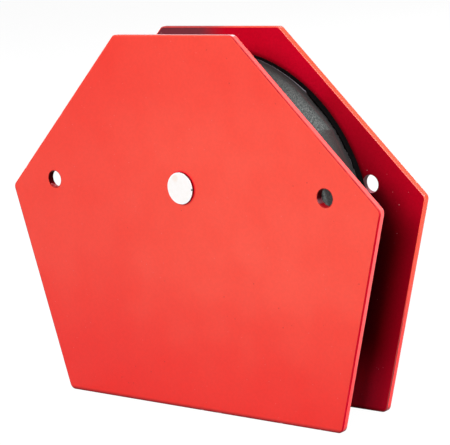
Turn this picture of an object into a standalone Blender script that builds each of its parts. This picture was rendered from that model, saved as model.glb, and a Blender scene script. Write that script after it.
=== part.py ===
"""Multi-angle welding magnet: two hexagonal steel pole plates riveted over a ferrite ring.

Metres, +Z up. The holder stands on its bottom edges with the plates facing -Y and +Y, and the
origin lies under its centre, level with those edges. The ring, the backing ring, the sleeve and
the rivet all have their axes along Y.
"""

import math

import bmesh
import bpy

MM = 0.001

# Pole plates. The working angles are what the tool is for, so the other corners follow from them.
PLATE_HEIGHT = 104.0 * MM
PLATE_THICKNESS = 2.0 * MM
PLATE_GAP = 18.5 * MM
SIDE_CORNER_HALF_WIDTH = 64.75 * MM
SIDE_CORNER_HEIGHT = 60.0 * MM
UPPER_SLOPE = math.radians(45)
LOWER_SIDE_SLOPE = math.radians(75)
CORNER_RADIUS = 1.8 * MM
EDGE_ROUND = 0.4 * MM

# The rivet and the two hanging holes share one line across the plates.
HOLE_LINE_HEIGHT = 62.6 * MM
HANGING_HOLE_OFFSET = 47.8 * MM
HANGING_HOLE_RADIUS = 2.4 * MM

# Ferrite ring, centred lower than the rivet so that its rim comes close to the bottom edges.
MAGNET_RADIUS = 47.5 * MM
MAGNET_BORE_RADIUS = 18.0 * MM
MAGNET_THICKNESS = 16.0 * MM
MAGNET_CENTRE_HEIGHT = 50.3 * MM
MAGNET_EDGE_BREAK = 0.5 * MM

# Rivet and the sleeve that keeps it from crushing the ferrite.
SHANK_RADIUS = 2.5 * MM
HEAD_RADIUS = 4.4 * MM
HEAD_HEIGHT = 0.6 * MM
HEAD_ROUND = 0.25 * MM
TAIL_RADIUS = 4.2 * MM
SLEEVE_RADIUS = 4.5 * MM
SLEEVE_EDGE_BREAK = 0.3 * MM

# Faces that rest on each other are kept this far apart.
CLEARANCE = 0.3 * MM

RING_STEPS = 120
SMALL_STEPS = 48
CORNER_STEPS = 6
ROUND_STEPS = 3
WELD_DISTANCE = 0.01 * MM
SMOOTH_ANGLE = math.radians(30)

INNER_FACE = PLATE_GAP / 2
OUTER_FACE = INNER_FACE + PLATE_THICKNESS
MAGNET_FRONT = -INNER_FACE + CLEARANCE
MAGNET_BACK = MAGNET_FRONT + MAGNET_THICKNESS
BACKING_FRONT = MAGNET_BACK + CLEARANCE
BACKING_BACK = INNER_FACE - CLEARANCE
RIVET_HOLE_RADIUS = SHANK_RADIUS + CLEARANCE


def clear_scene():
    """Removes every object, so that the model starts from nothing."""
    for obj in list(bpy.data.objects):
        bpy.data.objects.remove(obj)


def new_collection(name):
    collection = bpy.data.collections.new(name)
    bpy.context.scene.collection.children.link(collection)
    return collection


def new_material(name, colour, roughness, metallic, coat=0.0):
    """One Principled material; colour is linear RGB."""
    material = bpy.data.materials.new(name)
    material.use_nodes = True
    shader = material.node_tree.nodes["Principled BSDF"]
    shader.inputs["Base Color"].default_value = (*colour, 1.0)
    shader.inputs["Roughness"].default_value = roughness
    shader.inputs["Metallic"].default_value = metallic
    shader.inputs["Coat Weight"].default_value = coat
    material.diffuse_color = (*colour, 1.0)
    return material


def arc(centre, radius, start, end, steps):
    """Points along an arc, both ends included."""
    angles = [start + (end - start) * i / steps for i in range(steps + 1)]
    return [(centre[0] + radius * math.cos(a), centre[1] + radius * math.sin(a)) for a in angles]


def plate_corners():
    """The hexagon's sharp corners as (x, z), anticlockwise from the bottom right."""
    top_half = SIDE_CORNER_HALF_WIDTH - (PLATE_HEIGHT - SIDE_CORNER_HEIGHT) / math.tan(UPPER_SLOPE)
    bottom_half = SIDE_CORNER_HALF_WIDTH - SIDE_CORNER_HEIGHT / math.tan(LOWER_SIDE_SLOPE)
    right_side = [
        (bottom_half, 0.0),
        (SIDE_CORNER_HALF_WIDTH, SIDE_CORNER_HEIGHT),
        (top_half, PLATE_HEIGHT),
    ]
    return right_side + [(-x, z) for x, z in reversed(right_side)]


def rounded_outline(corners, radius):
    """Replaces each sharp corner of an anticlockwise convex outline with an arc."""
    outline = []
    count = len(corners)
    for i, corner in enumerate(corners):
        before = corners[i - 1]
        after = corners[(i + 1) % count]
        heading_in = math.atan2(corner[1] - before[1], corner[0] - before[0])
        heading_out = math.atan2(after[1] - corner[1], after[0] - corner[0])
        turn = (heading_out - heading_in) % (2 * math.pi)
        bisector = heading_in + turn / 2 + math.pi / 2
        reach = radius / math.cos(turn / 2)
        centre = (corner[0] + reach * math.cos(bisector), corner[1] + reach * math.sin(bisector))
        start = heading_in - math.pi / 2
        outline += arc(centre, radius, start, start + turn, CORNER_STEPS)
    return outline


def flat_plate(name, outline, thickness, centre_y, collection):
    """An upright plate: a filled 2D curve stood on edge, then made a welded mesh."""
    curve = bpy.data.curves.new(name + "_outline", "CURVE")
    curve.dimensions = "2D"
    curve.fill_mode = "BOTH"
    curve.extrude = thickness / 2
    spline = curve.splines.new("POLY")
    spline.points.add(len(outline) - 1)
    spline.use_cyclic_u = True
    for point, (x, z) in zip(spline.points, outline):
        point.co = (x, z, 0.0, 1.0)
    guide = bpy.data.objects.new(name + "_outline", curve)
    guide.rotation_euler = (math.pi / 2, 0.0, 0.0)
    guide.location = (0.0, centre_y, 0.0)
    collection.objects.link(guide)
    bpy.context.view_layer.update()

    graph = bpy.context.evaluated_depsgraph_get()
    mesh = bpy.data.meshes.new_from_object(guide.evaluated_get(graph))
    mesh.name = name
    solid = bmesh.new()
    solid.from_mesh(mesh)
    bmesh.ops.remove_doubles(solid, verts=solid.verts, dist=WELD_DISTANCE)
    bmesh.ops.dissolve_limit(
        solid, angle_limit=math.radians(1), verts=solid.verts, edges=solid.edges
    )
    bmesh.ops.recalc_face_normals(solid, faces=solid.faces)
    solid.to_mesh(mesh)
    solid.free()

    plate = bpy.data.objects.new(name, mesh)
    plate.matrix_world = guide.matrix_world.copy()
    collection.objects.link(plate)
    bpy.data.objects.remove(guide)
    return plate


def round_edges(obj, width):
    """Rounds the sharp edges of a plate."""
    bevel = obj.modifiers.new("rounded edges", "BEVEL")
    bevel.width = width
    bevel.segments = ROUND_STEPS
    bevel.limit_method = "ANGLE"
    bevel.angle_limit = math.radians(40)
    bevel.use_clamp_overlap = False


def hole_cutter(name, x, radius, collection):
    """A cylinder along Y, long enough to pass through both plates."""
    bpy.ops.mesh.primitive_cylinder_add(
        vertices=SMALL_STEPS,
        radius=radius,
        depth=2 * OUTER_FACE + 10 * MM,
        location=(x, 0.0, HOLE_LINE_HEIGHT),
        rotation=(math.pi / 2, 0.0, 0.0),
    )
    cutter = bpy.context.object
    cutter.name = name
    cutter.display_type = "WIRE"
    cutter.hide_render = True
    for owner in list(cutter.users_collection):
        owner.objects.unlink(cutter)
    collection.objects.link(cutter)
    return cutter


def cut(obj, cutters):
    for cutter in cutters:
        boolean = obj.modifiers.new(cutter.name, "BOOLEAN")
        boolean.operation = "DIFFERENCE"
        boolean.solver = "EXACT"
        boolean.object = cutter


def turned(name, profile, closed, height, steps, collection):
    """A shape turned about an axis along Y; profile is (radius, y) down the outer side."""
    mesh = bpy.data.meshes.new(name)
    points = [(radius, 0.0, y) for radius, y in profile]
    edges = [(i, i + 1) for i in range(len(points) - 1)]
    if closed:
        edges.append((len(points) - 1, 0))
    mesh.from_pydata(points, edges, [])
    obj = bpy.data.objects.new(name, mesh)
    obj.rotation_euler = (-math.pi / 2, 0.0, 0.0)
    obj.location = (0.0, 0.0, height)
    collection.objects.link(obj)
    screw = obj.modifiers.new("turned", "SCREW")
    screw.axis = "Z"
    screw.steps = steps
    screw.render_steps = steps
    screw.use_merge_vertices = True
    screw.merge_threshold = WELD_DISTANCE
    screw.use_smooth_shade = True
    return obj


def ring_profile(outer, inner, front, back, edge_break):
    """A ring's section as a closed loop, its four corners broken at 45 degrees."""
    return [
        (outer - edge_break, back),
        (outer, back - edge_break),
        (outer, front + edge_break),
        (outer - edge_break, front),
        (inner + edge_break, front),
        (inner, front + edge_break),
        (inner, back - edge_break),
        (inner + edge_break, back),
    ]


def build_plates(parts, cutters, paint):
    outline = rounded_outline(plate_corners(), CORNER_RADIUS)
    holes = [
        hole_cutter("left_hanging_hole", -HANGING_HOLE_OFFSET, HANGING_HOLE_RADIUS, cutters),
        hole_cutter("rivet_hole", 0.0, RIVET_HOLE_RADIUS, cutters),
        hole_cutter("right_hanging_hole", HANGING_HOLE_OFFSET, HANGING_HOLE_RADIUS, cutters),
    ]
    middle = (INNER_FACE + OUTER_FACE) / 2
    for name, centre_y in (("front_plate", -middle), ("back_plate", middle)):
        plate = flat_plate(name, outline, PLATE_THICKNESS, centre_y, parts)
        round_edges(plate, EDGE_ROUND)
        cut(plate, holes)
        plate.data.materials.append(paint)


def build_magnet(parts, ferrite, rubber):
    magnet_section = ring_profile(
        MAGNET_RADIUS, MAGNET_BORE_RADIUS, MAGNET_FRONT, MAGNET_BACK, MAGNET_EDGE_BREAK
    )
    magnet = turned("ring_magnet", magnet_section, True, MAGNET_CENTRE_HEIGHT, RING_STEPS, parts)
    magnet.data.materials.append(ferrite)

    backing_section = ring_profile(
        MAGNET_RADIUS, MAGNET_BORE_RADIUS, BACKING_FRONT, BACKING_BACK, MAGNET_EDGE_BREAK / 2
    )
    backing = turned("backing_ring", backing_section, True, MAGNET_CENTRE_HEIGHT, RING_STEPS, parts)
    backing.data.materials.append(rubber)


def build_rivet(parts, alloy):
    """Flat factory head at the front, shank through both plates, low upset tail at the back."""
    under_head = OUTER_FACE + CLEARANCE
    end = under_head + HEAD_HEIGHT
    tail = arc((TAIL_RADIUS - HEAD_HEIGHT, under_head), HEAD_HEIGHT, math.pi / 2, 0.0, CORNER_STEPS)
    rim = arc(
        (HEAD_RADIUS - HEAD_ROUND, -end + HEAD_ROUND), HEAD_ROUND, 0.0, -math.pi / 2, ROUND_STEPS
    )
    profile = [(0.0, end)]
    profile += tail
    profile += [(SHANK_RADIUS, under_head), (SHANK_RADIUS, -under_head), (HEAD_RADIUS, -under_head)]
    profile += rim
    profile += [(0.0, -end)]
    rivet = turned("rivet", profile, False, HOLE_LINE_HEIGHT, SMALL_STEPS, parts)
    rivet.data.materials.append(alloy)


def build_sleeve(parts, steel):
    half = INNER_FACE - CLEARANCE
    section = ring_profile(SLEEVE_RADIUS, RIVET_HOLE_RADIUS, -half, half, SLEEVE_EDGE_BREAK)
    sleeve = turned("spacer_sleeve", section, True, HOLE_LINE_HEIGHT, SMALL_STEPS, parts)
    sleeve.data.materials.append(steel)


def shade_round_faces(parts):
    for obj in parts.objects:
        obj.data.shade_smooth()
        obj.data.set_sharp_from_angle(angle=SMOOTH_ANGLE)


def main():
    clear_scene()
    parts = new_collection("welding_magnet_holder")
    cutters = new_collection("cutters")

    paint = new_material("red_paint", (0.80, 0.045, 0.035), 0.30, 0.0, coat=0.5)
    ferrite = new_material("ferrite", (0.12, 0.12, 0.12), 0.70, 0.0)
    rubber = new_material("black_rubber", (0.010, 0.010, 0.011), 0.75, 0.0)
    alloy = new_material("rivet_aluminium", (0.91, 0.91, 0.92), 0.30, 1.0)
    steel = new_material("zinc_plated_steel", (0.60, 0.61, 0.62), 0.35, 1.0)

    build_plates(parts, cutters, paint)
    build_magnet(parts, ferrite, rubber)
    build_rivet(parts, alloy)
    build_sleeve(parts, steel)
    shade_round_faces(parts)


main()
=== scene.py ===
"""Looks for a fixed welding magnet holder: two painted steel plates riveted over a ferrite ring.

Metres, +Z up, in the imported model's own frame. The plates face -Y and +Y, and the ring, its
backing, the sleeve and the rivet all have their axes along Y. Every place and main size comes
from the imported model's boxes. The constants below are only what a box can't tell.
"""

import math

import bmesh
import bpy
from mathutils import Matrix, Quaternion, Vector, noise


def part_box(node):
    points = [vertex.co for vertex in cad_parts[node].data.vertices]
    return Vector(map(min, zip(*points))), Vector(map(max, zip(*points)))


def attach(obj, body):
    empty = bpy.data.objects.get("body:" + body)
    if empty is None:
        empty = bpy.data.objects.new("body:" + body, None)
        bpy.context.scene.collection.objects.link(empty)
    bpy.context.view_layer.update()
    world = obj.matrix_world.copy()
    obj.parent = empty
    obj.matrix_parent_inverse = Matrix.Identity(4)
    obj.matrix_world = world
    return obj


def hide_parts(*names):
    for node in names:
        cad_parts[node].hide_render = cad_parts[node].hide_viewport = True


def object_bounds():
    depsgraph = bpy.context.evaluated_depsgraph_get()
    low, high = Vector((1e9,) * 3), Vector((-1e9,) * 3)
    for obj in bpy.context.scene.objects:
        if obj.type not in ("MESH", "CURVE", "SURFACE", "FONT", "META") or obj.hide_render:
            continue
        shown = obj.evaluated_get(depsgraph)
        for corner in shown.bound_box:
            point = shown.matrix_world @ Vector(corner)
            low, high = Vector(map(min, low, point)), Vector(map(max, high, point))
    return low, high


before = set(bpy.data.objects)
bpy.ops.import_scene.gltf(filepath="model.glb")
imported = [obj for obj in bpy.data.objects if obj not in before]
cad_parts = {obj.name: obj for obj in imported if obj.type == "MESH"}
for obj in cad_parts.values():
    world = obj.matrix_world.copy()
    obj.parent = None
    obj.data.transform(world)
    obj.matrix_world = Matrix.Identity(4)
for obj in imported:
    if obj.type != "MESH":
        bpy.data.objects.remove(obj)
cad_low, cad_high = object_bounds()

MM = 0.001
BODY = "root"

# Plate outline: the working angles and the corner that they start from.
SIDE_CORNER_HEIGHT = 60.0 * MM
UPPER_SLOPE = math.radians(45)
LOWER_SIDE_SLOPE = math.radians(75)
SIDE_CORNER_HALF_WIDTH = 64.75 * MM
BOTTOM_HALF_WIDTH = SIDE_CORNER_HALF_WIDTH - SIDE_CORNER_HEIGHT / math.tan(LOWER_SIDE_SLOPE)
CORNER_RADIUS = 1.85 * MM
OUTER_RIM_ROUND = 0.38 * MM
INNER_RIM_ROUND = 0.26 * MM
HOLE_RIM_ROUND = 0.16 * MM
HANGING_HOLE_OFFSET = 47.8 * MM
HANGING_HOLE_RADIUS = 2.4 * MM
RIVET_HOLE_RADIUS = 2.6 * MM

# The plates' edge mark, which is 1 on an outer round rim, -1 on an inner one and 0 on the faces.
HOLE_WALL_MARK = 2.0
CUT_EDGE_MARK = -0.2
# A plate's material slots.
OUTSIDE_PAINT = 0
INSIDE_PAINT = 1

# A flat face's last ring lies this far in from its rim, so that its shading stays flat.
SUPPORT = 0.05 * MM
STRAIGHT_STEP = 2.0 * MM
CORNER_STEPS = 14
RIM_STEPS = 5
HOLE_STEPS = 72
SHARP_ANGLE = math.radians(40)

# Ring magnet. The rim is cut finely near the back face, where it is crumbled.
MAGNET_BORE_RADIUS = 18.0 * MM
MAGNET_EDGE_BREAK = 0.35 * MM
BACK_RIM_BREAK = 0.10 * MM
CONTACT = 0.05 * MM
FINE_BAND = 3.2 * MM
COARSE_ROWS = 28
FINE_ROWS = 26
RING_STEPS = 960
# Only points this near the rim are moved, with a margin that takes in the last of them.
WORKED_WIDTH = 3.0 * MM
SHAPE_MARGIN = 0.5 * MM

# The back rim is crumbled along its right side: (degrees round from +X, how far forward in mm).
# It starts abruptly at its upper end, where the raised lip along the rim stops; the lip's
# lighter colour is a painted highlight.
CHIP_REACH = (
    (8.0, 0.0),
    (13.0, 0.3),
    (20.0, 0.3),
    (27.0, 0.5),
    (36.0, 0.5),
    (40.0, 0.6),
    (44.0, 0.9),
    (47.0, 0.8),
    (49.4, 0.4),
    (49.8, 0.0),
)
# Its front line wanders: (waves, place in the noise, mm).
CHIP_WANDER = ((26.0, 3.0, 0.5), (90.0, 7.0, 0.4), (240.0, 13.0, 0.3))
CHIP_DEPTH = 0.9 * MM
# The skin darkens to charcoal over this distance in front of the chip, fully so where the chip
# reaches at least as far as the second value.
CHAR_REACH = 1.1 * MM
CHAR_FULL_REACH = 0.25 * MM
# The raised lip's stretches, with its painted highlight: (from degrees, to degrees, strength).
LIPS = ((49.9, 50.4, 0.7), (49.9, 88.0, 0.5), (19.0, 27.0, 0.35), (128.0, 171.0, 0.8))
LIP_FADE_IN = 0.6
LIP_FADE_OUT = 9.0
LIP_HEIGHT = 0.08 * MM
LIP_WIDTH = 0.40 * MM
LIP_SETBACK = 0.25 * MM

# Backing, with a hair's gap to the magnet and to the back plate.
BACKING_FRONT_GAP = 0.01 * MM
BACKING_BACK_GAP = 0.02 * MM
BACKING_ROUND = 0.12 * MM
BACKING_BULGE = 0.03 * MM
BACKING_WAVE = 0.06 * MM
BACKING_STEPS = 360

# Rivet.
RIVET_HEAD_RADIUS = 4.4 * MM
RIVET_HEAD_HEIGHT = 0.78 * MM
HEAD_ROUND = 0.10 * MM
HEAD_FOOT_BREAK = 0.04 * MM
RIVET_SEAT = 0.01 * MM
SHANK_RADIUS = 2.5 * MM
TAIL_RADIUS = 4.2 * MM
TAIL_HEIGHT = 0.62 * MM
TAIL_FOOT = 0.05 * MM
TAIL_FOOT_BREAK = 0.12 * MM
# The punch mark in the tail's end: (radius, depth), down to the axis.
PUNCH_MARK = ((2.3 * MM, 0.0), (2.1 * MM, 0.10 * MM), (0.8 * MM, 0.22 * MM), (0.0, 0.24 * MM))
RIVET_STEPS = 96

# Camera: measured round the object from straight in front, and up from level.
CAMERA_AZIMUTH = math.radians(39.701)
CAMERA_ELEVATION = math.radians(11.049)
CAMERA_ROLL = math.radians(-4.176)
CAMERA_DISTANCE = 510.67 * MM
CAMERA_AIM = Vector((3.124, 2.237, 50.596)) * MM
CAMERA_LENS = 147.92
SENSOR_WIDTH = 36.0

FLOOR_SIZE = 14.0
# How far the floor is lifted to plain white where the camera sees it directly.
FLOOR_LIFT = 0.93
WORLD_STRENGTH = 0.02
LIGHT_AIM = Vector((0.0, 0.0, 0.05))
LIGHT_DISTANCE = 1.2
# (name, degrees round from straight in front, degrees up, width, height, watts)
SOFTBOXES = (
    ("key_softbox", 14.0, 26.0, 0.72, 0.45, 15.8),
    ("front_softbox", -30.0, 30.0, 1.0, 0.6, 3.0),
    ("side_softbox", 90.5, 25.0, 0.10, 0.8, 22.0),
    ("back_softbox", 142.0, 34.0, 0.7, 0.5, 1.5),
    ("rear_softbox", -155.0, 45.0, 0.7, 0.5, 4.0),
    ("low_rear_softbox", -175.0, 8.0, 0.4, 0.2, 5.0),
    ("left_softbox", -93.0, 22.0, 0.15, 0.8, 5.0),
)


# ---------------------------------------------------------------- meshes


def new_object(name, solid, *materials):
    """Turns a bmesh into a smooth-shaded piece that rides on the holder's one body."""
    bmesh.ops.recalc_face_normals(solid, faces=solid.faces)
    mesh = bpy.data.meshes.new(name)
    solid.to_mesh(mesh)
    solid.free()
    mesh.shade_smooth()
    mesh.set_sharp_from_angle(angle=SHARP_ANGLE)
    for material in materials:
        mesh.materials.append(material)
    obj = bpy.data.objects.new(name, mesh)
    bpy.context.scene.collection.objects.link(obj)
    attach(obj, BODY)
    return obj


def add_ring(solid, points, values=()):
    """One ring of vertices; values are (layer, value) pairs for all of them."""
    ring = [solid.verts.new(point) for point in points]
    for layer, value in values:
        for vertex in ring:
            vertex[layer] = value
    return ring


def bridge(solid, first, second, material_index=0):
    """Quads all the way round between two rings with as many points each."""
    for i, (a, b) in enumerate(zip(first, second)):
        after_a = first[(i + 1) % len(first)]
        after_b = second[(i + 1) % len(second)]
        face = solid.faces.new((a, after_a, after_b, b))
        face.material_index = material_index


def quarter_turns(steps):
    """Evenly spaced angles from 0 to a right angle, both included."""
    return [math.pi / 2 * k / steps for k in range(steps + 1)]


def even_steps(start, end, count):
    return [start + (end - start) * k / count for k in range(count + 1)]


def loop_edges(solid, ring):
    return [solid.edges.get((ring[i - 1], ring[i])) for i in range(len(ring))]


def plate_corners():
    """The plate's sharp corners as (x, z), anticlockwise from the bottom right."""
    height = cad_high.z
    top_half = SIDE_CORNER_HALF_WIDTH - (height - SIDE_CORNER_HEIGHT) / math.tan(UPPER_SLOPE)
    right_side = [
        (BOTTOM_HALF_WIDTH, 0.0),
        (SIDE_CORNER_HALF_WIDTH, SIDE_CORNER_HEIGHT),
        (top_half, height),
    ]
    return right_side + [(-x, z) for x, z in reversed(right_side)]


def plate_outline(inset):
    """Points along the plate's outline, moved in by inset, with round corners."""
    corners = plate_corners()
    radius = CORNER_RADIUS - inset
    arcs = []
    for i, corner in enumerate(corners):
        before = corners[i - 1]
        after = corners[(i + 1) % len(corners)]
        heading_in = math.atan2(corner[1] - before[1], corner[0] - before[0])
        heading_out = math.atan2(after[1] - corner[1], after[0] - corner[0])
        turn = (heading_out - heading_in) % (2 * math.pi)
        bisector = heading_in + turn / 2 + math.pi / 2
        reach = CORNER_RADIUS / math.cos(turn / 2)
        centre_x = corner[0] + reach * math.cos(bisector)
        centre_z = corner[1] + reach * math.sin(bisector)
        start = heading_in - math.pi / 2
        angles = [start + turn * k / CORNER_STEPS for k in range(CORNER_STEPS + 1)]
        arcs.append(
            [(centre_x + radius * math.cos(a), centre_z + radius * math.sin(a)) for a in angles]
        )
    outline = []
    for i, corner_arc in enumerate(arcs):
        outline += corner_arc
        start_x, start_z = corner_arc[-1]
        end_x, end_z = arcs[(i + 1) % len(arcs)][0]
        pieces = max(2, round(math.hypot(end_x - start_x, end_z - start_z) / STRAIGHT_STEP))
        for k in range(1, pieces):
            share = k / pieces
            x = start_x + (end_x - start_x) * share
            z = start_z + (end_z - start_z) * share
            outline.append((x, z))
    return outline


def circle(radius, centre_x, centre_z, steps):
    """Points round a circle, none of them straight beside, above or below its centre."""
    angles = [2 * math.pi * (k + 0.5) / steps for k in range(steps)]
    return [(centre_x + radius * math.cos(a), centre_z + radius * math.sin(a)) for a in angles]


def rim_profile(outer_round, inner_round, outer_y, inner_y):
    """(inset, y, edge) down a plate's cut edge, from its outer face to its inner face.

    edge is 1 on the middle of the outer face's round rim and -1 on that of the inner face's,
    with CUT_EDGE_MARK between them. A hole's wall has HOLE_WALL_MARK instead.
    """
    inward = 1.0 if inner_y > outer_y else -1.0
    rows = [(outer_round + SUPPORT, outer_y, 0.0)]
    for k, turn in enumerate(quarter_turns(RIM_STEPS)):
        inset = outer_round * (1 - math.sin(turn))
        y = outer_y + inward * outer_round * (1 - math.cos(turn))
        rows.append((inset, y, CUT_EDGE_MARK if k == RIM_STEPS else math.sin(2 * turn)))
    for k, turn in enumerate(quarter_turns(RIM_STEPS)):
        inset = inner_round * (1 - math.cos(turn))
        y = inner_y - inward * inner_round * (1 - math.sin(turn))
        rows.append((inset, y, CUT_EDGE_MARK if k == 0 else -math.sin(2 * turn)))
    rows.append((inner_round + SUPPORT, inner_y, 0.0))
    return rows


def build_plate(name, node, outer_y, inner_y, hole_height, outside, inside):
    """A plate with a rounded rim all round and rounded rims on its three holes."""
    solid = bmesh.new()
    edge = solid.verts.layers.float.new("edge")

    outline_rings = []
    for inset, y, edge_value in rim_profile(OUTER_RIM_ROUND, INNER_RIM_ROUND, outer_y, inner_y):
        points = [(x, y, z) for x, z in plate_outline(inset)]
        outline_rings.append(add_ring(solid, points, ((edge, edge_value),)))

    holes = (
        (-HANGING_HOLE_OFFSET, HANGING_HOLE_RADIUS),
        (0.0, RIVET_HOLE_RADIUS),
        (HANGING_HOLE_OFFSET, HANGING_HOLE_RADIUS),
    )
    stacks = [outline_rings]
    for centre_x, radius in holes:
        rings = []
        for inset, y, edge_value in rim_profile(HOLE_RIM_ROUND, HOLE_RIM_ROUND, outer_y, inner_y):
            around = circle(radius + inset, centre_x, hole_height, HOLE_STEPS)
            points = [(x, y, z) for x, z in around]
            mark = HOLE_WALL_MARK if inset < HOLE_RIM_ROUND / 2 else max(0.0, edge_value)
            rings.append(add_ring(solid, points, ((edge, mark),)))
        stacks.append(rings)

    for rings in stacks:
        for row, (first, second) in enumerate(zip(rings, rings[1:])):
            sheltered = 1 <= row <= RIM_STEPS or rings is not outline_rings
            bridge(solid, first, second, INSIDE_PAINT if sheltered else OUTSIDE_PAINT)
    for end, facing in ((0, outer_y - inner_y), (-1, inner_y - outer_y)):
        edges = []
        for rings in stacks:
            edges += loop_edges(solid, rings[end])
        filled = bmesh.ops.triangle_fill(
            solid, use_beauty=True, edges=edges, normal=Vector((0.0, facing, 0.0)).normalized()
        )
        if end == -1:
            for item in filled["geom"]:
                if isinstance(item, bmesh.types.BMFace):
                    item.material_index = INSIDE_PAINT
    plate = new_object(name, solid, outside, inside)
    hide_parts(node)


def revolve(name, profile, height, steps, material, shape=None, layers=()):
    """A closed section of (radius, y) turned about an axis along Y at the given height.

    shape(angle, radius, y) may move a point; it returns its radius, y and its layers' values.
    """
    solid = bmesh.new()
    marks = [solid.verts.layers.float.new(layer) for layer in layers]
    columns = []
    for k in range(steps):
        angle = 2 * math.pi * k / steps
        column = []
        for radius, y in profile:
            values = ()
            if shape:
                radius, y, values = shape(angle, radius, y)
            point = (radius * math.cos(angle), y, height + radius * math.sin(angle))
            vertex = solid.verts.new(point)
            for mark, value in zip(marks, values):
                vertex[mark] = value
            column.append(vertex)
        columns.append(column)
    for first, second in zip(columns, columns[1:] + columns[:1]):
        bridge(solid, first, second)
    return new_object(name, solid, material)


def turned_solid(name, profile, height, steps, material):
    """An open section that starts and ends on the axis, turned about Y into one closed solid."""
    solid = bmesh.new()
    rings = []
    for radius, y in profile[1:-1]:
        points = [(x, y, z) for x, z in circle(radius, 0.0, height, steps)]
        rings.append(add_ring(solid, points))
    for first, second in zip(rings, rings[1:]):
        bridge(solid, first, second)
    for ring, (_, y) in ((rings[0], profile[0]), (rings[-1], profile[-1])):
        tip = solid.verts.new((0.0, y, height))
        for i in range(steps):
            solid.faces.new((ring[i - 1], ring[i], tip))
    return new_object(name, solid, material)


# ---------------------------------------------------------------- materials


def rgb(red, green, blue):
    """A linear colour."""
    return (red, green, blue, 1.0)


# Paint outside, on the cut edges and in the holes.
PAINT_LIGHT = rgb(0.87, 0.074, 0.046)
PAINT_DARK = rgb(0.85, 0.062, 0.037)
# Painted shade: a deeper red where the coat gets less light and sheen.
SHADED_PAINT = rgb(0.78, 0.014, 0.011)
# Painted shade: the dark line along the outer round rim, low and high.
RIM_SHADE_LOW = rgb(0.46, 0.001, 0.020)
RIM_SHADE_HIGH = rgb(0.16, 0.002, 0.016)
# Painted light on the cut edges: darker low down, brighter high up.
CUT_EDGE_LOW = rgb(0.85, 0.022, 0.022)
CUT_EDGE_HIGH = rgb(0.87, 0.066, 0.026)
# Painted shade at the bottom of the cut edges.
CUT_EDGE_BOTTOM_SHADE = rgb(0.33, 0.002, 0.008)
# Painted sheen on the front plate's cut edge.
CUT_EDGE_SHEEN = rgb(0.90, 0.088, 0.088)
# Painted shadow on the back plate's top edge at the left.
TOP_EDGE_SHADOW = rgb(0.26, 0.020, 0.028)
# Painted highlight along the front plate's top edge.
TOP_EDGE_HIGHLIGHT = rgb(0.85, 0.55, 0.60)
# Painted shade along the bottom edge.
BOTTOM_EDGE_SHADE = rgb(0.20, 0.001, 0.003)
# Painted contact shadow round the rivet head.
RIVET_CONTACT_SHADE = rgb(0.80, 0.002, 0.020)
# Hole walls, painted light: painted shade above, painted light below, a painted glint, and a
# painted reflection in the back plate's holes.
FRONT_HOLE_UPPER = rgb(0.09, 0.001, 0.004)
FRONT_HOLE_LOWER = rgb(0.48, 0.001, 0.010)
FRONT_HOLE_GLINT = rgb(0.45, 0.16, 0.20)
BACK_HOLE_UPPER = rgb(0.30, 0.15, 0.17)
BACK_HOLE_LOWER = rgb(0.85, 0.25, 0.32)
CHIPPED_PAINT = rgb(0.85, 0.42, 0.45)
# Painted reflection on the inner round rims, in patches.
INNER_RIM_SHEEN = rgb(0.82, 0.10, 0.09)
# Inner round rims darker low down.
INNER_RIM_LOW_DARK = rgb(0.11, 0.020, 0.028)
DUST_SPECK = rgb(0.80, 0.36, 0.36)
DARK_PIT = rgb(0.34, 0.006, 0.008)

# Paint between the plates.
INNER_LIGHT = rgb(0.58, 0.001, 0.018)
INNER_DARK = rgb(0.53, 0.001, 0.014)
# Painted shade: a deeper red lower down between the plates.
SHADED_INNER_PAINT = rgb(0.41, 0.001, 0.012)
# Painted shade: the dark line along the round rim.
INNER_RIM_SHADE = rgb(0.40, 0.001, 0.012)
# Painted shade inwards from the side edges between the plates, where the front plate shades the
# inner face.
SIDE_SHADE_DARK = rgb(0.045, 0.001, 0.004)
# Painted light thrown up from the floor at the foot between the plates.
FLOOR_BOUNCE_LIGHT = rgb(0.95, 0.012, 0.052)
# Painted shade: contact shade and shadow round the magnet.
MAGNET_CONTACT_SHADE = rgb(0.12, 0.001, 0.004)
SHADOW_NEAR_MAGNET = rgb(0.040, 0.001, 0.004)
# Painted shadow: the dark patch at the upper left between the plates.
UPPER_LEFT_SHADOW_TONE = rgb(0.14, 0.029, 0.040)

# Magnet.
FERRITE_DARK = rgb(0.056, 0.065, 0.064)
FERRITE_LIGHT = rgb(0.092, 0.102, 0.100)
FERRITE_TOP = rgb(0.032, 0.038, 0.037)
GRIT_PALE = rgb(0.190, 0.205, 0.202)
GRIT_DARK = rgb(0.020, 0.023, 0.022)
BAND_GREY = rgb(0.038, 0.039, 0.039)
BAND_BROWN = rgb(0.042, 0.025, 0.024)
BAND_FOOT = rgb(0.010, 0.008, 0.008)
BACK_RIM_DARK = rgb(0.017, 0.018, 0.0185)
SKIN_RUST = rgb(0.065, 0.026, 0.028)
FRACTURE_DARK = rgb(0.003, 0.003, 0.003)
FRACTURE_LIGHT = rgb(0.014, 0.014, 0.015)
# Painted highlight on the lip along the back rim.
LIP_HIGHLIGHT = rgb(0.200, 0.188, 0.225)

# Rivet.
ALLOY_DARK = rgb(0.955, 0.925, 0.905)
ALLOY_LIGHT = rgb(0.975, 0.950, 0.940)
ALLOY_BLOTCH = rgb(0.90, 0.82, 0.77)
ALLOY_STAIN = rgb(0.90, 0.74, 0.62)
# Painted highlight: a pale ring near the head's rim.
ALLOY_RIM_HIGHLIGHT = rgb(0.98, 0.98, 0.98)
# Painted shade with a red reflection on the head's side wall.
HEAD_WALL_SHADE = rgb(0.20, 0.001, 0.005)
RIM_NICK = rgb(0.05, 0.07, 0.07)

WHITE = rgb(1.0, 1.0, 1.0)

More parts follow.
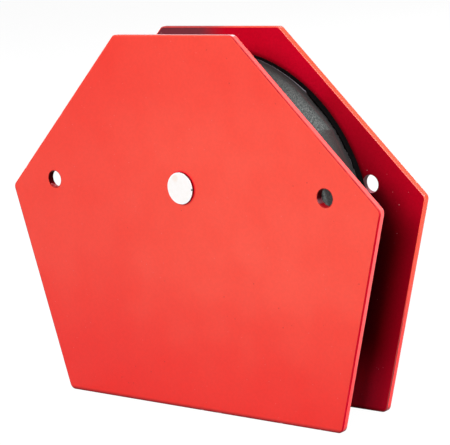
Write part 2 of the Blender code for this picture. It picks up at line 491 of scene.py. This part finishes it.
# Ranges of the plates' edge mark, from none to all of the cut edge and of a hole's wall.
CUT_EDGE_RANGE = (-0.05, -0.18)
HOLE_WALL_RANGE = (1.05, 1.9)

# The two coats. fade goes from the height where a coat is plain to where its painted shade is
# deepest.
OUTSIDE_COAT = {
    "name": "red_powder_coat",
    "light": PAINT_LIGHT,
    "dark": PAINT_DARK,
    "deep": SHADED_PAINT,
    "painted_rim_shade": RIM_SHADE_LOW,
    "fade": (58.0 * MM, 10.0 * MM),
    "sheltered": False,
    "dust": 0.34,
    "grain": 0.03,
    "specular": 0.5,
    "coat": 0.15,
}
INSIDE_COAT = {
    "name": "red_powder_coat_inside",
    "light": INNER_LIGHT,
    "dark": INNER_DARK,
    "deep": SHADED_INNER_PAINT,
    "painted_rim_shade": INNER_RIM_SHADE,
    "fade": (98.0 * MM, 80.0 * MM),
    "sheltered": True,
    "dust": 0.60,
    "grain": 0.08,
    "specular": 0.05,
    "coat": 0.0,
}


class Nodes:
    """Short calls for building one material's node tree."""

    def __init__(self, name):
        self.material = bpy.data.materials.new(name)
        self.material.use_nodes = True
        self.tree = self.material.node_tree
        self.shader = self.tree.nodes["Principled BSDF"]
        self.position = self.add("ShaderNodeTexCoord").outputs["Object"]

    def add(self, kind, inputs=None, **settings):
        node = self.tree.nodes.new(kind)
        for key, value in settings.items():
            setattr(node, key, value)
        for key, value in (inputs or {}).items():
            self.set(node.inputs[key], value)
        return node

    def set(self, socket, value):
        if isinstance(value, bpy.types.NodeSocket):
            self.tree.links.new(value, socket)
        else:
            socket.default_value = value

    def attribute(self, name):
        return self.add("ShaderNodeAttribute", attribute_name=name).outputs["Fac"]

    def axis(self, name):
        return self.add("ShaderNodeSeparateXYZ", {"Vector": self.position}).outputs[name]

    def stretched(self, scale, turn=(0.0, 0.0, 0.0)):
        inputs = {"Vector": self.position, "Scale": scale, "Rotation": turn}
        return self.add("ShaderNodeMapping", inputs).outputs["Vector"]

    def noise(self, scale, detail=3.0, rough=0.5, vector=None):
        inputs = {
            "Vector": vector or self.position,
            "Scale": scale,
            "Detail": detail,
            "Roughness": rough,
        }
        return self.add("ShaderNodeTexNoise", inputs).outputs["Fac"]

    def cells(self, scale):
        """Distance to the nearest of many scattered points."""
        inputs = {"Vector": self.position, "Scale": scale}
        return self.add("ShaderNodeTexVoronoi", inputs).outputs["Distance"]

    def math(self, operation, first, second=0.0, clamp=False):
        node = self.add("ShaderNodeMath", operation=operation, use_clamp=clamp)
        self.set(node.inputs[0], first)
        self.set(node.inputs[1], second)
        return node.outputs[0]

    def plus(self, first, second):
        return self.math("ADD", first, second)

    def minus(self, first, second):
        return self.math("SUBTRACT", first, second)

    def times(self, first, *factors):
        for factor in factors:
            first = self.math("MULTIPLY", first, factor)
        return first

    def distance(self, centre):
        """Distance across the plates from centre, given as (x, z)."""
        across = self.minus(self.axis("X"), centre[0])
        up = self.minus(self.axis("Z"), centre[1])
        return self.math("SQRT", self.plus(self.times(across, across), self.times(up, up)))

    def step(self, value, low, high, to_low=0.0, to_high=1.0):
        """A smooth step from to_low to to_high as value goes from low to high."""
        inputs = {
            "Value": value,
            "From Min": low,
            "From Max": high,
            "To Min": to_low,
            "To Max": to_high,
        }
        node = self.add("ShaderNodeMapRange", inputs, interpolation_type="SMOOTHSTEP")
        return node.outputs["Result"]

    def mix(self, factor, first, second, blend="MIX"):
        """first where factor is 0, second where it is 1."""
        node = self.add("ShaderNodeMix", data_type="RGBA", blend_type=blend)
        sockets = {socket.identifier: socket for socket in node.inputs}
        self.set(sockets["Factor_Float"], factor)
        self.set(sockets["A_Color"], first)
        self.set(sockets["B_Color"], second)
        return next(s for s in node.outputs if s.identifier == "Result_Color")

    def bump(self, height, distance, below=None):
        inputs = {"Height": height, "Distance": distance}
        if below is not None:
            inputs["Normal"] = below
        return self.add("ShaderNodeBump", inputs).outputs["Normal"]

    def finish(self, **inputs):
        names = {
            "colour": "Base Color",
            "roughness": "Roughness",
            "metallic": "Metallic",
            "normal": "Normal",
            "coat": "Coat Weight",
            "coat_roughness": "Coat Roughness",
            "specular": "Specular IOR Level",
        }
        for key, value in inputs.items():
            self.set(self.shader.inputs[names[key]], value)
        return self.material


def middle_height(node):
    low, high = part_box(node)
    return (low.z + high.z) / 2


def painted_light_between_plates(n, colour, high):
    """Between the plates, painted light and shade: painted shade inwards from the sides, painted
    light from the floor at the foot, painted shade and shadow round the magnet, and a painted
    shadow at the upper left."""
    # Painted shade inwards from the side edges, where the front plate shades the inner face.
    side_edge = n.plus(n.times(high, 1 / math.tan(LOWER_SIDE_SLOPE)), BOTTOM_HALF_WIDTH)
    inset = n.minus(side_edge, n.math("ABSOLUTE", n.axis("X")))
    side_shade = n.times(
        n.step(inset, 4.0 * MM, 14.0 * MM, to_high=0.76),
        n.step(high, 66.0 * MM, 52.0 * MM),
        n.step(high, 6.0 * MM, 24.0 * MM),
    )
    colour = n.mix(side_shade, colour, SIDE_SHADE_DARK)
    # Painted light thrown up from the floor at the foot.
    floor_bounce = n.times(
        n.step(high, 20.0 * MM, 5.0 * MM, to_high=0.9),
        n.step(inset, 2.0 * MM, 10.0 * MM, 0.2, 1.0),
    )
    colour = n.mix(floor_bounce, colour, FLOOR_BOUNCE_LIGHT)

    magnet_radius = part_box("ring_magnet")[1].x
    from_magnet = n.minus(n.distance((0.0, middle_height("ring_magnet"))), magnet_radius)
    # Painted contact shade next to the magnet.
    magnet_contact_shade = n.step(from_magnet, 1.3 * MM, 0.0, to_high=0.7)
    colour = n.mix(magnet_contact_shade, colour, MAGNET_CONTACT_SHADE)
    # Painted shadow round the magnet's right side and above it.
    side_shadow = n.times(
        n.step(from_magnet, 9.0 * MM, 1.5 * MM),
        n.step(high, 70.0 * MM, 59.0 * MM),
        n.step(high, 49.0 * MM, 54.0 * MM, to_high=0.80),
    )
    upper_shadow = n.times(
        n.step(from_magnet, 18.0 * MM, 2.0 * MM),
        n.step(high, 98.0 * MM, 84.0 * MM, to_high=0.24),
    )
    colour = n.mix(n.math("MAXIMUM", side_shadow, upper_shadow), colour, SHADOW_NEAR_MAGNET)

    # Painted shadow at the upper left of the inner face, cast by the front plate.
    ragged = n.times(n.noise(150.0, detail=4.0, rough=0.7), 9.0 * MM)
    along = n.plus(n.axis("X"), ragged)
    upper_left_shadow = n.times(
        n.step(along, 9.0 * MM, -4.0 * MM),
        n.step(high, 90.0 * MM, 99.0 * MM),
        n.step(n.axis("X"), -48.0 * MM, -34.0 * MM),
        0.93,
    )
    return n.mix(upper_left_shadow, colour, UPPER_LEFT_SHADOW_TONE)


def coat_shades(n, high, coat):
    """The coat: slow clouding, painted shade low down, to the left and high up, and fine grain."""
    cloud = n.plus(n.noise(24.0, detail=2.0), n.noise(95.0, detail=2.0))
    colour = n.mix(n.step(cloud, 0.75, 1.25), coat["dark"], coat["light"])
    wavy_height = n.plus(high, n.times(cloud, 9.0 * MM))
    # Painted shade: deeper red low down, to the left and high up, for less light and sheen there.
    low_down = n.step(wavy_height, *coat["fade"], to_high=0.85)
    colour = n.mix(low_down, colour, coat["deep"])
    to_the_left = n.step(n.axis("X"), 5.0 * MM, -35.0 * MM, to_high=0.35)
    colour = n.mix(to_the_left, colour, coat["deep"])
    high_up = n.step(high, 70.0 * MM, 95.0 * MM, to_high=0.30)
    colour = n.mix(high_up, colour, coat["deep"])
    if coat["sheltered"]:
        colour = painted_light_between_plates(n, colour, high)
    fine = n.step(n.noise(1300.0, detail=1.0), 0.35, 0.65, 1 - coat["grain"], 1.0)
    return n.mix(1.0, colour, fine, blend="MULTIPLY")


def cut_edge_shades(n, colour, high, edge, in_front):
    """The cut edges, as painted light: brighter high up, painted shade at the bottom, a painted
    sheen on the front plate, and along the top edge a painted highlight on the front plate and a
    painted shadow at the left on the back plate."""
    top = cad_high.z
    cut_edge = n.step(edge, *CUT_EDGE_RANGE)
    tone = n.mix(n.step(high, 8.0 * MM, 58.0 * MM), CUT_EDGE_LOW, CUT_EDGE_HIGH)
    tone = n.mix(n.step(high, 2.4 * MM, 0.8 * MM, to_high=0.8), tone, CUT_EDGE_BOTTOM_SHADE)
    colour = n.mix(cut_edge, colour, tone)
    # Painted shadow on the back plate's top edge at the left.
    upper_left_shadow = n.times(
        n.step(high, top - 1.0 * MM, top - 0.6 * MM),
        n.step(in_front, 0.5, 0.0),
        n.step(n.axis("X"), 10.0 * MM, -4.0 * MM, to_high=0.85),
    )
    colour = n.mix(n.times(cut_edge, upper_left_shadow), colour, TOP_EDGE_SHADOW)
    cut_edge_sheen = n.times(cut_edge, in_front, n.step(high, 8.0 * MM, 40.0 * MM, 0.25, 0.9))
    colour = n.mix(cut_edge_sheen, colour, CUT_EDGE_SHEEN)
    # Painted highlight along the front plate's top edge.
    at_top = n.step(high, top - 0.4 * MM, top - 0.1 * MM, to_high=0.8)
    top_edge_highlight = n.times(cut_edge, in_front, at_top)
    return n.mix(top_edge_highlight, colour, TOP_EDGE_HIGHLIGHT)


def painted_rim_shade(n, colour, high, edge, upper, low_tone):
    """Painted shade: a dark uneven line on the outer round rim, at the right and along the bottom,
    narrower and darker above the side corner."""
    uneven = n.step(n.noise(260.0, detail=3.0), 0.25, 0.55, 0.6, 1.0)
    # The painted shade starts at 0.30 of the edge mark low down and at 0.44 of it high up.
    line_start = n.times(n.plus(upper, 2.2), 0.136)
    at_right = n.step(n.axis("X"), 16.0 * MM, 23.0 * MM)
    at_bottom = n.step(high, 3.0 * MM, 1.5 * MM)
    reach = n.math("MAXIMUM", at_right, at_bottom)
    rim_shade = n.times(n.step(edge, line_start, 0.85), uneven, reach, 0.9)
    return n.mix(rim_shade, colour, n.mix(upper, low_tone, RIM_SHADE_HIGH))


def hole_wall_shades(n, colour, high, edge, in_front, hole_height):
    """Hole walls, as painted light: painted shade in their upper half, painted light in the lower
    half, lighter with a painted reflection in the back plate, and a painted glint on the front
    plate's right-hand one."""
    below = n.step(n.minus(high, hole_height), -1.0 * MM, -2.0 * MM)
    front = n.mix(below, FRONT_HOLE_UPPER, FRONT_HOLE_LOWER)
    from_glint = n.math("ABSOLUTE", n.minus(high, hole_height - 1.0 * MM))
    at_right = n.step(n.axis("X"), 0.0, 1.0 * MM)
    glint = n.times(n.step(from_glint, 0.8 * MM, 0.2 * MM, to_high=0.6), at_right)
    front = n.mix(glint, front, FRONT_HOLE_GLINT)
    back = n.mix(below, BACK_HOLE_UPPER, BACK_HOLE_LOWER)
    return n.mix(n.step(edge, *HOLE_WALL_RANGE), colour, n.mix(in_front, back, front))


def paint_wear(n, colour, high, edge, dust):
    """Chips on the outer rims, a painted reflection on the inner rims, which are darker low down,
    and dust specks and dark pits.
    """
    scuffed = n.step(n.noise(340.0, detail=4.0, rough=0.65), 0.56, 0.66)
    few = n.step(n.noise(38.0, detail=1.0), 0.56, 0.62)
    chipped = n.times(n.step(edge, 0.15, 0.5), scuffed, few, 0.7)
    colour = n.mix(chipped, colour, CHIPPED_PAINT)
    # Painted reflection on the inner round rims.
    inner_rim_sheen = n.times(n.step(edge, -0.50, -0.90), n.step(scuffed, 0.0, 1.0, 0.45, 0.60))
    colour = n.mix(inner_rim_sheen, colour, INNER_RIM_SHEEN)
    low_down = n.step(high, 40.0 * MM, 18.0 * MM, to_high=0.85)
    inner_rim_low_dark = n.times(n.step(edge, -0.25, -0.60), low_down)
    colour = n.mix(inner_rim_low_dark, colour, INNER_RIM_LOW_DARK)

    specks = n.step(n.cells(430.0), 0.065, 0.040)
    patchy = n.step(n.noise(45.0, detail=1.0), 0.40, 0.50)
    colour = n.mix(n.times(specks, patchy, dust), colour, DUST_SPECK)
    pits = n.step(n.cells(290.0), 0.070, 0.045)
    between_patches = n.step(patchy, 1.0, 0.0, to_high=0.45)
    return n.mix(n.times(pits, between_patches), colour, DARK_PIT)


def red_paint_material(coat, hole_height):
    """Gloss powder coat with orange peel. The edge mark says where the rims, the cut edges and
    the holes' walls are."""
    n = Nodes(coat["name"])
    edge = n.attribute("edge")
    high = n.axis("Z")
    in_front = n.step(n.axis("Y"), 0.0, -5.0 * MM)
    upper = n.step(high, SIDE_CORNER_HEIGHT - 3.0 * MM, SIDE_CORNER_HEIGHT + 3.0 * MM)

    colour = coat_shades(n, high, coat)
    # Above the side corner the outer round rim has the coat's plain colour.
    upper_rim = n.times(n.step(edge, 0.02, 0.10), upper)
    colour = n.mix(upper_rim, colour, PAINT_LIGHT)
    colour = cut_edge_shades(n, colour, high, edge, in_front)
    colour = painted_rim_shade(n, colour, high, edge, upper, coat["painted_rim_shade"])
    # Painted shade along the plates' bottom edge.
    at_bottom = n.step(high, 1.3 * MM, 0.2 * MM, to_high=0.85)
    colour = n.mix(at_bottom, colour, BOTTOM_EDGE_SHADE)
    # Painted contact shadow round the rivet head.
    from_rivet = n.minus(n.distance((0.0, hole_height)), RIVET_HEAD_RADIUS)
    rivet_contact_shade = n.step(from_rivet, 0.55 * MM, 0.15 * MM, to_high=0.85)
    colour = n.mix(rivet_contact_shade, colour, RIVET_CONTACT_SHADE)
    colour = hole_wall_shades(n, colour, high, edge, in_front, hole_height)
    colour = paint_wear(n, colour, high, edge, coat["dust"])

    orange_peel = n.noise(750.0, detail=2.0, rough=0.45)
    normal = n.bump(orange_peel, 0.007 * MM)
    normal = n.bump(n.noise(60.0, detail=1.0), 0.10 * MM, below=normal)
    grime = n.noise(130.0, detail=4.0, rough=0.6)
    return n.finish(
        colour=colour,
        roughness=n.step(grime, 0.3, 0.7, 0.30, 0.39),
        normal=normal,
        specular=coat["specular"],
        coat=coat["coat"],
        coat_roughness=0.12,
    )


def ferrite_back_rim_dark(n, colour, high, deep, mottle, patch, back):
    """Ragged darkening by the back rim, with a rusty line in it. It reaches a little further
    forward below 76 mm and above 82 mm, and less so above 88 mm."""
    ragged = n.times(n.minus(mottle, 0.5), 1.6 * MM)
    ragged = n.plus(ragged, n.times(n.minus(patch, 0.5), 2.0 * MM))
    from_back = n.minus(back, n.plus(deep, ragged))
    from_back = n.minus(from_back, n.step(high, 77.0 * MM, 75.5 * MM, to_high=0.5 * MM))
    from_back = n.minus(from_back, n.step(high, 80.0 * MM, 83.5 * MM, to_high=0.7 * MM))
    from_back = n.plus(from_back, n.step(high, 86.0 * MM, 89.0 * MM, to_high=0.5 * MM))
    colour = n.mix(n.step(from_back, 5.0 * MM, 0.5 * MM), colour, BACK_RIM_DARK)
    rusty = n.times(
        n.step(from_back, 2.6 * MM, 2.0 * MM),
        n.step(from_back, 1.3 * MM, 1.7 * MM),
        n.step(high, 91.0 * MM, 86.0 * MM, to_high=0.35),
    )
    return n.mix(rusty, colour, SKIN_RUST)


def ferrite_material(back):
    """Pressed and fired ferrite: gritty grey, darker at the top, browner low down, with a ragged
    darkening, a crumbled fracture and a raised lip by its back rim, painted with a highlight."""
    n = Nodes("sintered_ferrite")
    high = n.axis("Z")
    deep = n.axis("Y")

    streaky = n.stretched((1.0, 1.4, 1.0))
    grit = n.noise(2300.0, detail=2.0, rough=0.8, vector=streaky)
    mottle = n.noise(700.0, detail=4.0, rough=0.7, vector=streaky)
    patch = n.noise(120.0)
    colour = n.mix(n.step(mottle, 0.32, 0.68), FERRITE_DARK, FERRITE_LIGHT)
    colour = n.mix(n.step(grit, 0.50, 0.66, to_high=0.85), colour, GRIT_PALE)
    colour = n.mix(n.step(grit, 0.50, 0.36, to_high=0.85), colour, GRIT_DARK)
    colour = n.mix(n.step(high, 82.0 * MM, 93.0 * MM, to_high=0.60), colour, FERRITE_TOP)

    wavy_height = n.plus(high, n.times(patch, 4.0 * MM))
    band = n.times(
        n.step(wavy_height, 79.4 * MM, 78.6 * MM, to_high=0.85),
        n.step(deep, -8.7 * MM, -7.5 * MM, 0.60, 1.0),
    )
    band_tone = n.mix(n.step(deep, 1.0 * MM, 4.5 * MM), BAND_GREY, BAND_BROWN)
    band_tone = n.mix(n.step(high, 75.0 * MM, 63.0 * MM), band_tone, BAND_FOOT)
    colour = n.mix(band, colour, band_tone)
    colour = ferrite_back_rim_dark(n, colour, high, deep, mottle, patch, back)

    crumbled = n.plus(n.attribute("chip"), n.times(n.minus(mottle, 0.5), 0.9))
    facets = n.mix(n.step(mottle, 0.48, 0.62), FRACTURE_DARK, FRACTURE_LIGHT)
    colour = n.mix(n.step(crumbled, 0.15, 0.80), colour, facets)
    # Painted highlight on the raised lip.
    lip = n.math("MULTIPLY", n.attribute("lip"), 0.95, clamp=True)
    colour = n.mix(lip, colour, LIP_HIGHLIGHT)

    normal = n.bump(grit, 0.05 * MM)
    normal = n.bump(mottle, 0.16 * MM, below=normal)
    roughness = n.step(mottle, 0.3, 0.7, 0.70, 0.55)
    return n.finish(colour=colour, roughness=roughness, normal=normal, specular=0.10)


def rubber_material():
    """Black rubber, matte, with a faint moulding grain and dust."""
    n = Nodes("backing_rubber")
    dusty = n.step(n.noise(260.0, detail=4.0, rough=0.65), 0.55, 0.75)
    tone = n.mix(n.times(dusty, 0.35), rgb(0.0008, 0.0008, 0.001), rgb(0.004, 0.003, 0.003))
    normal = n.bump(n.noise(900.0, detail=2.0), 0.02 * MM)
    return n.finish(colour=tone, roughness=0.78, normal=normal, specular=0.04)


def aluminium_material(height):
    """Bright lightly scratched aluminium, with a warm stain and a nick on its front rim, a painted
    highlight as a pale ring near the rim, and painted shade with a red reflection on the head's
    side wall."""
    n = Nodes("rivet_aluminium_bright")
    fine = n.noise(1100.0, rough=0.6)
    blotch = n.step(n.noise(330.0, detail=2.0), 0.58, 0.76)
    colour = n.mix(n.step(fine, 0.3, 0.7), ALLOY_DARK, ALLOY_LIGHT)
    colour = n.mix(n.times(blotch, 0.25), colour, ALLOY_BLOTCH)
    from_stain = n.distance((-1.5 * MM, height + 2.8 * MM))
    colour = n.mix(n.step(from_stain, 1.5 * MM, 0.4 * MM, to_high=0.50), colour, ALLOY_STAIN)
    from_axis = n.distance((0.0, height))
    # Painted highlight: a pale ring near the head's rim.
    colour = n.mix(n.step(from_axis, 3.90 * MM, 4.02 * MM), colour, ALLOY_RIM_HIGHLIGHT)
    # Painted shade with a red reflection on the head's side wall, made metallic there.
    wall_start = RIVET_HEAD_RADIUS - 0.045 * MM
    head_wall_shade = n.step(from_axis, wall_start, wall_start + 0.030 * MM)
    colour = n.mix(head_wall_shade, colour, HEAD_WALL_SHADE)
    from_nick = n.distance((4.20 * MM, height - 0.20 * MM))
    colour = n.mix(n.step(from_nick, 0.36 * MM, 0.18 * MM), colour, RIM_NICK)

    slanted = n.stretched((1.0, 1.0, 5.0), (0.0, 0.5, 0.0))
    scratches = n.noise(500.0, detail=4.0, rough=0.7, vector=slanted)
    normal = n.bump(fine, 0.010 * MM)
    normal = n.bump(scratches, 0.012 * MM, below=normal)
    roughness = n.step(fine, 0.3, 0.7, 0.34, 0.42)
    metallic = n.plus(n.times(head_wall_shade, 0.80), 0.20)
    return n.finish(colour=colour, metallic=metallic, roughness=roughness, normal=normal)


def zinc_material():
    """Satin zinc plate with a faint spangle."""
    n = Nodes("zinc_plate")
    spangle = n.step(n.cells(620.0), 0.1, 0.7)
    colour = n.mix(spangle, rgb(0.50, 0.51, 0.53), rgb(0.68, 0.69, 0.70))
    normal = n.bump(n.noise(800.0), 0.01 * MM)
    roughness = n.step(n.noise(300.0), 0.3, 0.7, 0.30, 0.42)
    return n.finish(colour=colour, metallic=1.0, roughness=roughness, normal=normal)


def floor_material():
    """Plain pale paper that throws little light back up, with its shadows kept faint."""
    n = Nodes("pale_floor")
    path = n.add("ShaderNodeLightPath").outputs
    tone = n.mix(path["Is Glossy Ray"], rgb(0.80, 0.80, 0.80), rgb(0.40, 0.40, 0.40))
    tone = n.mix(path["Is Diffuse Ray"], tone, rgb(0.09, 0.09, 0.09))
    material = n.finish(colour=tone, roughness=0.9, specular=0.1)
    white = n.add("ShaderNodeEmission", {"Color": WHITE, "Strength": 1.03})
    lift = n.times(path["Is Camera Ray"], FLOOR_LIFT)
    lifted = n.add("ShaderNodeMixShader", {"Fac": lift})
    n.tree.links.new(n.shader.outputs["BSDF"], lifted.inputs[1])
    n.tree.links.new(white.outputs["Emission"], lifted.inputs[2])
    n.tree.links.new(lifted.outputs["Shader"], n.tree.nodes["Material Output"].inputs["Surface"])
    return material


# ---------------------------------------------------------------- pieces


def smooth(value, low, high):
    """0 at low, 1 at high, with a smooth change between."""
    share = min(1.0, max(0.0, (value - low) / (high - low)))
    return share * share * (3 - 2 * share)


def build_plates(hole_height):
    outside = red_paint_material(OUTSIDE_COAT, hole_height)
    inside = red_paint_material(INSIDE_COAT, hole_height)
    low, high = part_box("front_plate")
    build_plate("front_plate_painted", "front_plate", low.y, high.y, hole_height, outside, inside)
    low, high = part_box("back_plate")
    build_plate("back_plate_painted", "back_plate", high.y, low.y, hole_height, outside, inside)


def chip_reach(angle):
    """How far forward of the magnet's back face the chip reaches at this angle."""
    degrees = math.degrees(angle)
    for (start, low), (end, high) in zip(CHIP_REACH, CHIP_REACH[1:]):
        if start <= degrees < end:
            reach = low + (high - low) * (degrees - start) / (end - start)
            wander = 0.0
            for waves, offset, share in CHIP_WANDER:
                wander += noise.noise(Vector((angle * waves, offset, 0.0))) * share
            return max(0.0, reach + wander * min(1.0, reach * 1.5)) * MM
    return 0.0


def lip_strength(angle):
    """How high the raised lip along the magnet's back rim stands at this angle, and how strong its
    painted highlight is, 0 to 1.
    """
    degrees = math.degrees(angle)
    strength = 0.0
    for start, end, full in LIPS:
        fading_in = smooth(degrees, start, start + LIP_FADE_IN)
        fading_out = smooth(degrees, end, end + LIP_FADE_OUT)
        strength += full * fading_in * (1 - fading_out)
    return strength * (0.85 + 0.3 * noise.noise(Vector((angle * 40.0, 11.0, 0.0))))


def build_magnet(height, ferrite):
    """The ring, resting on the front plate, with a crumbled back rim and a raised lip painted with
    a highlight.
    """
    low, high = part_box("ring_magnet")
    rim = (high.x - low.x) / 2
    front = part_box("front_plate")[1].y + CONTACT
    back = high.y
    bore = MAGNET_BORE_RADIUS
    edge_break = MAGNET_EDGE_BREAK
    fine_start = back - FINE_BAND

    profile = [(rim - edge_break, front), (rim - edge_break * 0.3, front + edge_break * 0.3)]
    profile += [(rim, y) for y in even_steps(front + edge_break, fine_start, COARSE_ROWS)]
    profile += [(rim, y) for y in even_steps(fine_start, back - BACK_RIM_BREAK, FINE_ROWS)[1:]]
    profile += [(rim - BACK_RIM_BREAK, back)]
    profile += [(r, back) for r in even_steps(rim - 0.5 * MM, rim - WORKED_WIDTH, 6)]
    profile += [(bore + edge_break, back), (bore, back - edge_break)]
    profile += [(bore, front + edge_break), (bore + edge_break, front)]

    def shape(angle, radius, y):
        if radius < rim - WORKED_WIDTH - SHAPE_MARGIN:
            return radius, y, (0.0, 0.0)
        place = Vector((radius * math.cos(angle), y, radius * math.sin(angle)))
        on_side = 1.0 if radius > rim - 0.01 * MM else 0.0
        rough = noise.noise(place * 900.0) * 0.020 + noise.noise(place * 260.0) * 0.035
        radius += on_side * rough * MM

        from_lip = abs(y - (back - LIP_SETBACK)) / (LIP_WIDTH / 2)
        lip = lip_strength(angle) * on_side * max(0.0, 1 - from_lip)
        radius += lip * LIP_HEIGHT

        reach = chip_reach(angle)
        into = y - (back - reach)
        chip = 0.5 * smooth(into, -CHAR_REACH, 0.0) * min(1.0, reach / CHAR_FULL_REACH)
        if reach > 0 and into > 0:
            share = min(1.0, into / reach)
            scallop = 0.75 + 0.5 * noise.noise(place * 700.0)
            hollow = CHIP_DEPTH * share**0.6 * scallop * min(1.0, reach / MM)
            hollow *= max(0.0, 1 - (rim - radius) / WORKED_WIDTH)
            radius -= hollow
            chip += 0.5 * smooth(share, 0.0, 0.35)
        return radius, y, (chip, lip)

    magnet = revolve(
        "ferrite_ring", profile, height, RING_STEPS, ferrite, shape=shape, layers=("chip", "lip")
    )
    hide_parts("ring_magnet")


def build_backing(height, rubber):
    """The black layer between the magnet and the back plate, slightly wavy round its rim."""
    low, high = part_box("ring_magnet")
    rim = (high.x - low.x) / 2
    front = high.y + BACKING_FRONT_GAP
    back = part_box("back_plate")[0].y - BACKING_BACK_GAP
    bore = MAGNET_BORE_RADIUS
    rounding = BACKING_ROUND

    profile = []
    for turn in quarter_turns(4):
        y = front + rounding * (1 - math.cos(turn))
        profile.append((rim - rounding * (1 - math.sin(turn)), y))
    profile.append((rim + BACKING_BULGE, (front + back) / 2))
    for turn in quarter_turns(4):
        y = back - rounding * (1 - math.sin(turn))
        profile.append((rim - rounding * (1 - math.cos(turn)), y))
    profile += [(bore + rounding, back), (bore, back - rounding)]
    profile += [(bore, front + rounding), (bore + rounding, front)]

    def shape(angle, radius, y):
        if radius < rim - WORKED_WIDTH:
            return radius, y, ()
        place = Vector((math.cos(angle) * 22.0, math.sin(angle) * 22.0, y * 300.0))
        return radius + noise.noise(place) * BACKING_WAVE, y, ()

    backing = revolve("rubber_backing", profile, height, BACKING_STEPS, rubber, shape=shape)
    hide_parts("backing_ring")


def build_rivet(height, alloy):
    """Flat factory head in front, shank, and a low formed tail with its punch mark behind."""
    low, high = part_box("rivet")
    head_radius = (high.x - low.x) / 2
    front_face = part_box("front_plate")[0].y
    back_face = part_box("back_plate")[1].y
    head_top = front_face - RIVET_HEAD_HEIGHT
    flat_radius = head_radius - HEAD_ROUND - SUPPORT

    profile = [(0.0, head_top)]
    profile += [(r, head_top) for r in even_steps(0.6 * MM, flat_radius, 5)]
    for turn in quarter_turns(5):
        y = head_top + HEAD_ROUND * (1 - math.cos(turn))
        profile.append((head_radius - HEAD_ROUND * (1 - math.sin(turn)), y))
    profile.append((head_radius, front_face - HEAD_FOOT_BREAK))
    profile.append((head_radius - HEAD_FOOT_BREAK, front_face - RIVET_SEAT))
    profile.append((SHANK_RADIUS, front_face - RIVET_SEAT))
    profile.append((SHANK_RADIUS, back_face + RIVET_SEAT))

    profile.append((TAIL_RADIUS - TAIL_FOOT_BREAK, back_face + RIVET_SEAT))
    for turn in quarter_turns(6):
        radius = TAIL_RADIUS - TAIL_HEIGHT * 0.9 * (1 - math.cos(turn))
        rise = TAIL_FOOT + (TAIL_HEIGHT - TAIL_FOOT) * math.sin(turn)
        profile.append((radius, back_face + rise))
    profile += [(radius, back_face + TAIL_HEIGHT - depth) for radius, depth in PUNCH_MARK]
    rivet = turned_solid("aluminium_rivet", profile, height, RIVET_STEPS, alloy)
    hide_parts("rivet")


def dress_sleeve():
    """The hidden sleeve keeps its CAD solid."""
    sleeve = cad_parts["spacer_sleeve"]
    material = zinc_material()
    if sleeve.material_slots:
        for slot in sleeve.material_slots:
            slot.material = material
    else:
        sleeve.data.materials.append(material)


# ---------------------------------------------------------------- stage


def build_floor():
    bpy.ops.mesh.primitive_plane_add(size=FLOOR_SIZE, location=(0.0, 0.0, 0.0))
    floor = bpy.context.object
    floor.name = "floor"
    floor.data.materials.append(floor_material())


def outward(azimuth, elevation):
    """A unit vector away from the holder: azimuth goes from straight in front to the right."""
    level = math.cos(elevation)
    return Vector((math.sin(azimuth) * level, -math.cos(azimuth) * level, math.sin(elevation)))


def softbox(name, azimuth, elevation, width, height, power):
    """A rectangular light aimed at the holder, placed by angles in degrees."""
    light = bpy.data.lights.new(name, "AREA")
    light.shape = "RECTANGLE"
    light.size = width
    light.size_y = height
    light.energy = power
    obj = bpy.data.objects.new(name, light)
    away = outward(math.radians(azimuth), math.radians(elevation))
    obj.location = LIGHT_AIM + away * LIGHT_DISTANCE
    obj.rotation_euler = (-away).to_track_quat("-Z", "Y").to_euler()
    bpy.context.scene.collection.objects.link(obj)


def light_scene():
    world = bpy.data.worlds.new("studio")
    bpy.context.scene.world = world
    world.use_nodes = True
    background = world.node_tree.nodes["Background"]
    background.inputs["Color"].default_value = WHITE
    background.inputs["Strength"].default_value = WORLD_STRENGTH
    for settings in SOFTBOXES:
        softbox(*settings)


def place_camera():
    camera = bpy.data.cameras.new("camera")
    camera.lens = CAMERA_LENS
    camera.sensor_width = SENSOR_WIDTH
    camera.clip_start = 0.01
    obj = bpy.data.objects.new("camera", camera)
    away = outward(CAMERA_AZIMUTH, CAMERA_ELEVATION)
    obj.location = CAMERA_AIM + away * CAMERA_DISTANCE
    obj.rotation_mode = "QUATERNION"
    level = (-away).to_track_quat("-Z", "Y")
    obj.rotation_quaternion = level @ Quaternion((0.0, 0.0, 1.0), CAMERA_ROLL)
    bpy.context.scene.collection.objects.link(obj)
    bpy.context.scene.camera = obj


place_camera()
rivet_height = middle_height("rivet")
magnet_height = middle_height("ring_magnet")
build_plates(rivet_height)
build_magnet(magnet_height, ferrite_material(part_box("ring_magnet")[1].y))
build_backing(magnet_height, rubber_material())
build_rivet(rivet_height, aluminium_material(rivet_height))
dress_sleeve()
build_floor()
light_scene()
bpy.context.scene.view_settings.view_transform = "Standard"
